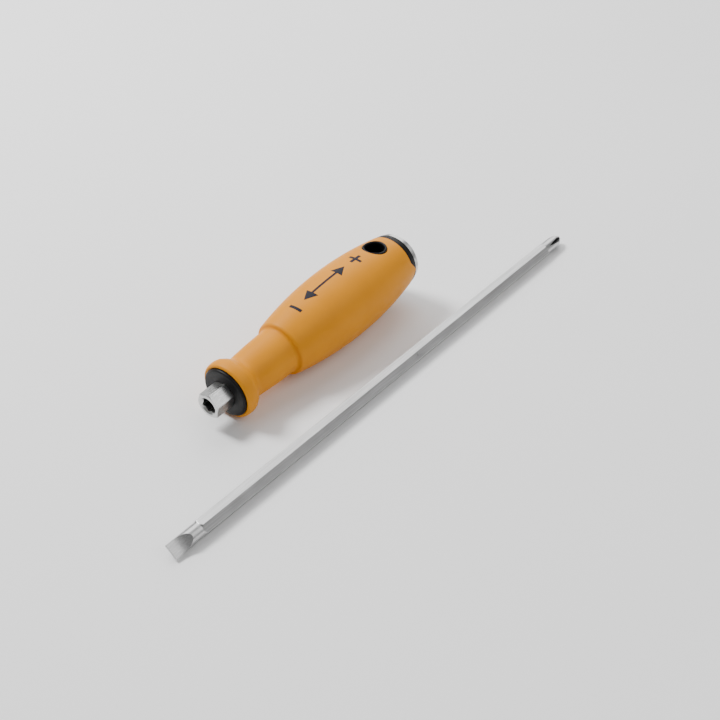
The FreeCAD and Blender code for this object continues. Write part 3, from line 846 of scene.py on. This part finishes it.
def hole_lining():
    """Tube through the handle, its rims rounded and a little proud of the barrel's sides."""
    outer, inner = LINER_RADIUS - LINING_GAP, HOLE_RADIUS
    rim = [
        (outer, 1.4),
        (outer, 0.45),
        (outer - 0.05, 0.24),
        (outer - 0.17, 0.1),
        (outer - 0.34, 0.02),
        (outer - 0.52, 0.0),
        (outer - 0.72, 0.05),
        (outer - 0.9, 0.17),
        (inner + 0.18, 0.36),
        (inner + 0.06, 0.62),
        (inner, 1.0),
    ]
    points = []
    for radius, sink in rim:
        points += rim_ring(radius, 1, sink)
    for level in (8.0, 4.0, 0.0, -4.0, -8.0):
        points += wall_ring(inner, level)
    for radius, sink in reversed(rim):
        points += rim_ring(radius, -1, sink)
    for level in (-8.0, 0.0, 8.0):
        points += wall_ring(outer, level)
    return points, ring_faces(len(points) // LINING_COLUMNS, LINING_COLUMNS, True)


lining_points, lining_faces = hole_lining()
hang_liner = make_object(
    "hole_lining", lining_points, lining_faces, HANDLE, "handle", BLACK, sharp=45.0
)
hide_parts("hang_liner")


RING_ROUND = 0.9
RING_COLUMNS = 144
RING_INSET = 0.05
RING_GAP = 0.02
RING_BACK = 116.6
RING_BORE = 9.3
RING_LAP = 0.4  # how far the ring reaches in over the core's edge
RING_SHOULDER = BUTT - RING_ROUND
RING_RIM = [
    (
        RING_SHOULDER + RING_ROUND * sin(radians(part)),
        barrel_radius(RING_SHOULDER) - RING_INSET - RING_ROUND * (1 - cos(radians(part))),
    )
    for part in (18, 36, 54, 72, 90)
]


def butt_ring():
    """Black crescents behind the slanting cut, closed by a web round the strike cap."""
    steps = (
        ("cut", CORE_RADIUS - RING_LAP),
        ("cut", CORE_RADIUS + 0.3),
        ("edge", 0.0),
        ("skin", 0.35),
        ("skin", 0.7),
        ("skin", 1.0),
    )
    points = []

    def add_ring(place_at):
        for k in range(RING_COLUMNS):
            angle = 2 * pi * k / RING_COLUMNS
            station, radius = place_at(angle)
            points.append((station, -radius * sin(angle), radius * cos(angle)))

    def place(kind, amount, angle):
        if kind == "cut":
            return cut_at(cos(angle) * amount) + RING_GAP, amount
        edge = cut_station(angle) + RING_GAP
        if kind == "edge":
            return edge, barrel_radius(edge) - 0.12
        last = max(RING_SHOULDER, edge + 0.05)
        station = edge + (last - edge) * amount
        return station, barrel_radius(station) - RING_INSET

    for kind, amount in steps:
        add_ring(lambda angle: place(kind, amount, angle))
    for corner in (
        *RING_RIM,
        (BUTT, 10.85),
        (BUTT - 0.15, 10.66),
        (BUTT - 0.4, CORE_RADIUS),
        (RING_BACK, CORE_RADIUS),
        (RING_BACK, RING_BORE),
        (CORE_END, RING_BORE),
        (CORE_END, CORE_RADIUS - RING_LAP),
    ):
        add_ring(lambda angle: corner)
    return points, ring_faces(len(points) // RING_COLUMNS, RING_COLUMNS, True)


ring_points, ring_quads = butt_ring()
rear_ring = make_object("butt_ring", ring_points, ring_quads, HANDLE, "handle", BLACK, sharp=35.0)
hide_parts("rear_ring")

# ------------------------------------------------------------------ handle: strike cap


STRIKE_FACE = 121.3
STRIKE_SEAT = 118.35
STRIKE_RADIUS = 10.5
STRIKE_FLANGE = 11.4
STRIKE_ROUND = 1.0


def strike_cap():
    """Steel cap with a rounded rim and a flat striking face."""
    section = path(
        [
            (RING_BACK, 0.0),
            (RING_BACK, STRIKE_RADIUS),
            (STRIKE_SEAT, STRIKE_RADIUS),
            (STRIKE_SEAT, STRIKE_FLANGE - 0.15),
            (STRIKE_SEAT + 0.15, STRIKE_FLANGE),
            (STRIKE_FACE - STRIKE_ROUND, STRIKE_FLANGE, STRIKE_ROUND),
            (STRIKE_FACE, STRIKE_FLANGE - STRIKE_ROUND),
            (STRIKE_FACE, 0.0),
        ],
        step=0.5,
        closed=False,
    )
    return turned("strike_cap_disc", section, HANDLE, "handle", PLATED, closed=False, sharp=30.0)


cap = strike_cap()
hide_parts("strike_cap")

# ------------------------------------------------------------------ handle: generic mark


def plate(corners_at, columns, rows, lift=0.03, sink=0.15):
    """A thin closed plate on the barrel. corners_at(u, v) gives (station, side along the arc)."""
    points = []
    for extra in (lift, -sink):
        for i in range(rows + 1):
            for j in range(columns + 1):
                station, side = corners_at(i / rows, j / columns)
                radius = barrel_radius(station) + extra
                angle = side / barrel_radius(station)
                points.append((station, radius * sin(angle), radius * cos(angle)))
    wide = columns + 1
    low = (rows + 1) * wide
    faces = []
    for i in range(rows):
        for j in range(columns):
            a = i * wide + j
            faces.append((a, a + 1, a + wide + 1, a + wide))
            faces.append((low + a, low + a + wide, low + a + wide + 1, low + a + 1))
    edge = list(range(wide))
    edge += [i * wide + columns for i in range(1, rows + 1)]
    edge += [rows * wide + j for j in range(columns - 1, -1, -1)]
    edge += [i * wide for i in range(rows - 1, 0, -1)]
    for a, b in zip(edge, edge[1:] + edge[:1]):
        faces.append((a, low + a, low + b, b))
    return points, faces


def bar(start, end, low, high):
    return lambda u, v: (start + (end - start) * u, low + (high - low) * v)


def wedge(start, end, half_start, half_end):
    def at(u, v):
        half = half_start + (half_end - half_start) * u
        return (start + (end - start) * u, -half + 2 * half * v)

    return at


def mark_shapes():
    """A minus, a two-headed arrow and a plus: the blade's two tips, and that it reverses."""
    pen = 0.55
    return [
        (bar(52.0, 53.4, -3.1, 3.1), 12, 3),
        (wedge(58.0, 63.4, 0.05, 3.0), 10, 12),
        (bar(63.4, 78.6, -pen, pen), 4, 30),
        (wedge(78.6, 84.0, 3.0, 0.05), 10, 12),
        (bar(88.2, 94.4, -0.7, 0.7), 4, 12),
        (bar(90.6, 92.0, 0.7, 3.1), 6, 3),
        (bar(90.6, 92.0, -3.1, -0.7), 6, 3),
    ]


def grip_mark():
    points, faces = [], []
    for at, columns, rows in mark_shapes():
        more_points, more_faces = plate(at, columns, rows)
        base = len(points)
        points += more_points
        faces += [tuple(base + i for i in face) for face in more_faces]
    return make_object("grip_mark", points, faces, HANDLE, "handle", INK, sharp=40.0)


mark = grip_mark()

# ------------------------------------------------------------------ blade

END_ROWS = 4.0  # length at each end of the bar that has rows of its own
BAR_ROWS = 40
GROUND_ROWS = 40
SLOT_OVERLAP, CROSS_OVERLAP = 0.4, 0.6  # how far each tip reaches into the bar


def blade_bar():
    """The hexagon bar with its ends turned down to the round shanks."""
    first, last = SLOT_SHANK, BLADE_LENGTH - CROSS_SHANK
    angles = []
    coarse = hex_angles(BLADE_FLATS, 0.0, EDGE)
    for a, b in zip(coarse, coarse[1:] + [coarse[0] + 2 * pi]):
        angles += [a, (a + b) / 2]
    ends = [0.0, 0.08, 0.2, 0.35, 0.5, 0.7, 0.95, 1.25, 1.6, 2.2]
    stations = [first + e for e in ends]
    run = last - first - 2 * END_ROWS
    stations += [first + END_ROWS + run * i / BAR_ROWS for i in range(BAR_ROWS + 1)]
    stations += [last - e for e in reversed(ends)]

    def outside(station, angle):
        slot_cone = SLOT_RADIUS + (station - first) / tan(SHOULDER)
        cross_cone = CROSS_RADIUS + (last - station) / tan(SHOULDER)
        return min(hex_radius(angle, BLADE_FLATS, 0.0, EDGE), slot_cone, cross_cone)

    return polar(stations, angles, outside), len(angles)


ARC_STEPS, FLAT_STEPS = 14, 16


def slab_ring(station, radius, half, roll):
    """A circle cut by two flats, its points gathered at the four edges."""
    half = min(half, radius * 0.9995)
    edge = acos(half / radius)
    marks = []
    for middle in (roll, roll + pi):
        for i in range(FLAT_STEPS):
            marks.append((half, radius * sin(edge) * (-1 + 2 * i / FLAT_STEPS), middle))
        for i in range(ARC_STEPS):
            angle = edge + (pi - 2 * edge) * i / ARC_STEPS
            marks.append((radius * cos(angle), radius * sin(angle), middle))
    ring = []
    for u, v, middle in marks:
        # u is along the flat's normal, which leans from up towards the near side by the roll
        ring.append(
            (
                station,
                -u * sin(middle) - v * cos(middle),
                u * cos(middle) - v * sin(middle),
            )
        )
    return ring


def slotted_tip():
    """Round shank, hollow-ground on two sides to a flat tip."""
    wheel = sweep_radius(SLOT_GROUND, SLOT_RADIUS - SLOT_HALF)
    stations = [0.0, 0.05, 0.15, 0.3, 0.6, 1.0]
    run = SLOT_GROUND - stations[-1]
    stations += [1.0 + run * i / GROUND_ROWS for i in range(1, GROUND_ROWS + 1)]
    stations += [9.6, 11.0, 12.4, SLOT_SHANK + SLOT_OVERLAP]
    points = []
    for station in stations:
        corner = min(1.0, station / SLOT_BREAK_LENGTH)
        radius = SLOT_RADIUS - SLOT_BREAK * (1 - sqrt(1 - (1 - corner) ** 2))
        if station == 0:
            half = SLOT_HALF - SLOT_END_BREAK
        elif station < SLOT_GROUND:
            half = SLOT_HALF + wheel - sqrt(wheel**2 - station**2)
        else:
            half = radius
        points += slab_ring(station, radius, half, SLOT_ROLL)
    return points, 2 * (ARC_STEPS + FLAT_STEPS)


def cross_ring(station, radius, root, steps=9):
    """A circle with four V flutes, its points gathered at the flutes' edges and roots."""
    ring = []
    if root >= radius * 0.999:
        edge = radians(0.4)
        root = radius * 0.9995
    else:
        low, high = 0.0, pi / 4
        for _ in range(40):
            trial = (low + high) / 2
            if root / (cos(trial) - sin(trial)) < radius:
                low = trial
            else:
                high = trial
        edge = low
    for k in range(4):
        middle = pi / 4 + k * pi / 2
        for i in range(-steps, steps):
            swing = edge * i / steps
            reach = min(radius, root / (cos(swing) - abs(sin(swing))))
            ring.append((station, reach * cos(middle + swing), reach * sin(middle + swing)))
        for i in range(steps):
            swing = edge + (pi / 2 - 2 * edge) * i / steps
            ring.append((station, radius * cos(middle + swing), radius * sin(middle + swing)))
    return ring


def cross_tip():
    """Round shank with a cone and four flutes that run out along it."""
    start = BLADE_LENGTH - CROSS_SHANK - CROSS_OVERLAP
    runout = BLADE_LENGTH - FLUTE_RUNOUT
    cone = BLADE_LENGTH - CROSS_CONE
    stations = [start, runout - 0.2]
    stations += [runout + (cone - runout) * i / 26 for i in range(27)]
    stations += [cone + CROSS_CONE * i / 18 for i in range(1, 18)]
    stations += [BLADE_LENGTH - 0.12, BLADE_LENGTH - 0.04, BLADE_LENGTH]
    points = []
    for station in stations:
        share = max(0.0, (station - cone) / CROSS_CONE)
        radius = CROSS_RADIUS + (CROSS_NOSE - CROSS_RADIUS) * share
        left = BLADE_LENGTH - station
        if left < END_BREAK_LENGTH:
            radius -= END_BREAK * (1 - left / END_BREAK_LENGTH)
        fall = (left + FLUTE_PAST_END) / FLUTE_LENGTH
        root = FLUTE_ROOT + (FLUTE_TOP - FLUTE_ROOT) * fall
        points += cross_ring(station, radius, root)
    return points, len(points) // len(stations)


def blade():
    """The bar and its two tips, overlapping inside the steel."""
    for name, shape, steel in (
        ("blade_bar", blade_bar, DRAWN),
        ("blade_slotted_tip", slotted_tip, DRAWN),
        # the cross tip takes the steel with painted shade in its flutes
        ("blade_cross_tip", cross_tip, FLUTED_SHADED_STEEL),
    ):
        points, count = shape()
        make_object(name, points, capped(points, count), BLADE, "blade", steel, sharp=24.0)
    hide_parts("blade")


blade()

# ------------------------------------------------------------------ hidden pieces keep their CAD shape

for node, finish in (
    ("handle_core", BLACK),
    ("bore_plug", PLATED),
    ("tang_pin", PLATED),
    ("retaining_ball", SPRING),
):
    piece = frame["nodes"][node]
    piece.data.materials.clear()
    piece.data.materials.append(finish)

# ------------------------------------------------------------------ floor, light and camera


FLOOR_HALF = 3.0
WORLD_STRENGTH = 0.28


def floor():
    mesh = bpy.data.meshes.new("floor")
    corners = [(FLOOR_HALF * x, FLOOR_HALF * y, 0) for x, y in ((-1, -1), (1, -1), (1, 1), (-1, 1))]
    mesh.from_pydata(corners, [], [(0, 1, 2, 3)])
    shade = Shader("floor_paper", Roughness=0.85, Specular_IOR_Level=0.2)
    shade.colour(
        shade.ramp(
            shade.noise(shade.where, 6.0, 2.0, 0.5, 51.0),
            [(0.3, (0.93, 0.93, 0.93)), (0.7, (0.95, 0.95, 0.95))],
        )
    )
    mesh.materials.append(shade.material)
    obj = bpy.data.objects.new("floor", mesh)
    bpy.context.scene.collection.objects.link(obj)


def area_light(name, at, target, size, watts):
    """A round soft light that faces the target."""
    lamp = bpy.data.lights.new(name, "AREA")
    lamp.shape = "DISK"
    lamp.size = size
    lamp.energy = watts
    obj = bpy.data.objects.new(name, lamp)
    obj.location = at
    obj.rotation_euler = (Vector(target) - Vector(at)).to_track_quat("-Z", "Y").to_euler()
    bpy.context.scene.collection.objects.link(obj)


def studio():
    """Even pale light from all round."""
    world = bpy.data.worlds.new("studio")
    world.use_nodes = True
    background = world.node_tree.nodes["Background"]
    background.inputs["Color"].default_value = (1.0, 1.0, 1.0, 1.0)
    background.inputs["Strength"].default_value = WORLD_STRENGTH
    bpy.context.scene.world = world


# Where the photographer stood: the horizontal way that the camera looks, its pitch and its place.
LOOK = Vector((0.786, 0.618, 0.0)).normalized()
ACROSS = Vector((LOOK.y, -LOOK.x, 0.0))
PITCH = radians(37.56)
CAMERA_HEIGHT = 0.27857
NOSE_AHEAD = 0.32536
NOSE_LEFT = 0.05218
FOCAL_PIXELS = 1094.0
SENSOR = 36.0
FRAME_PIXELS = 720


def camera():
    disc = HANDLE @ Vector((CAP_FACE, 0.0, 0.0))
    at = disc - LOOK * NOSE_AHEAD + ACROSS * NOSE_LEFT
    at.z = CAMERA_HEIGHT
    data = bpy.data.cameras.new("camera")
    data.sensor_width = SENSOR
    data.lens = FOCAL_PIXELS / FRAME_PIXELS * SENSOR
    data.dof.use_dof = False
    obj = bpy.data.objects.new("camera", data)
    obj.location = at
    aim = LOOK * cos(PITCH) - Vector((0, 0, sin(PITCH)))
    obj.rotation_euler = aim.to_track_quat("-Z", "Y").to_euler()
    bpy.context.scene.collection.objects.link(obj)
    bpy.context.scene.camera = obj


floor()
studio()
camera()
LEFT = -ACROSS
area_light("key", LEFT * 0.75 + LOOK * 0.35 + Vector((0, 0, 1.0)), (0, 0, 0), 0.4, 20.0)
area_light("back", LOOK * 1.0 + Vector((0, 0, 0.9)), (0, 0, 0), 1.5, 14.0)
area_light("side", Vector((0.33, -0.81, 0.85)), (-0.1, 0, 0), 1.1, 5.0)
